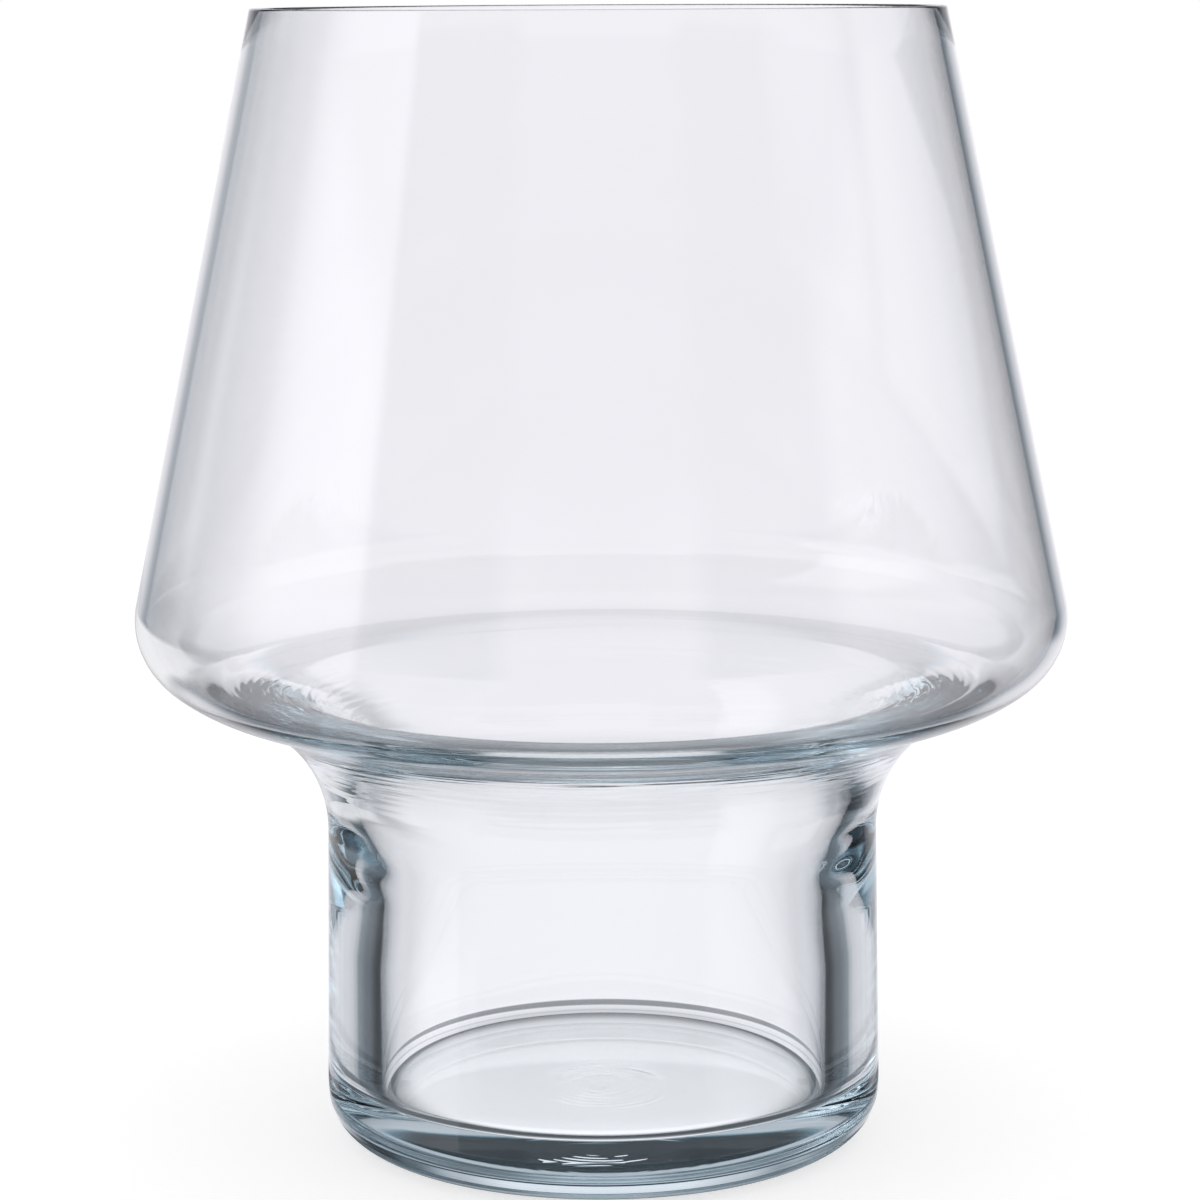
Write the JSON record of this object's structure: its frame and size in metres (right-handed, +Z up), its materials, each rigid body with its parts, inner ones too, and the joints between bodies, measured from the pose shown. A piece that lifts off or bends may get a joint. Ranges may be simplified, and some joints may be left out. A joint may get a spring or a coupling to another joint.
{
  "type": "glass vase",
  "caption": "Clear glass vase: a shade-shaped bowl with a rounded shoulder on a thick-walled round pedestal with a heavy base.",
  "frame": {"origin": "centre of the round contact ring, on the plane of the table", "axes": "+Z up along the axis of the vase, through the centre of the mouth; the vase is round, so +X and +Y are free, and the picture looks along +Y"},
  "size_m": [0.1722, 0.1722, 0.21],
  "materials": {
    "clear_glass": "fire-polished clear glass with a faint blue-green cast where it is thick",
    "ground_rim": "ground and polished glass edge"
  },
  "bodies": {
    "root": {"base": "clear_glass", "pedestal_wall": "clear_glass", "neck_flare": "clear_glass", "shoulder": "clear_glass", "bowl_wall": "clear_glass", "rim": "ground_rim"}
  },
  "joints": []
}
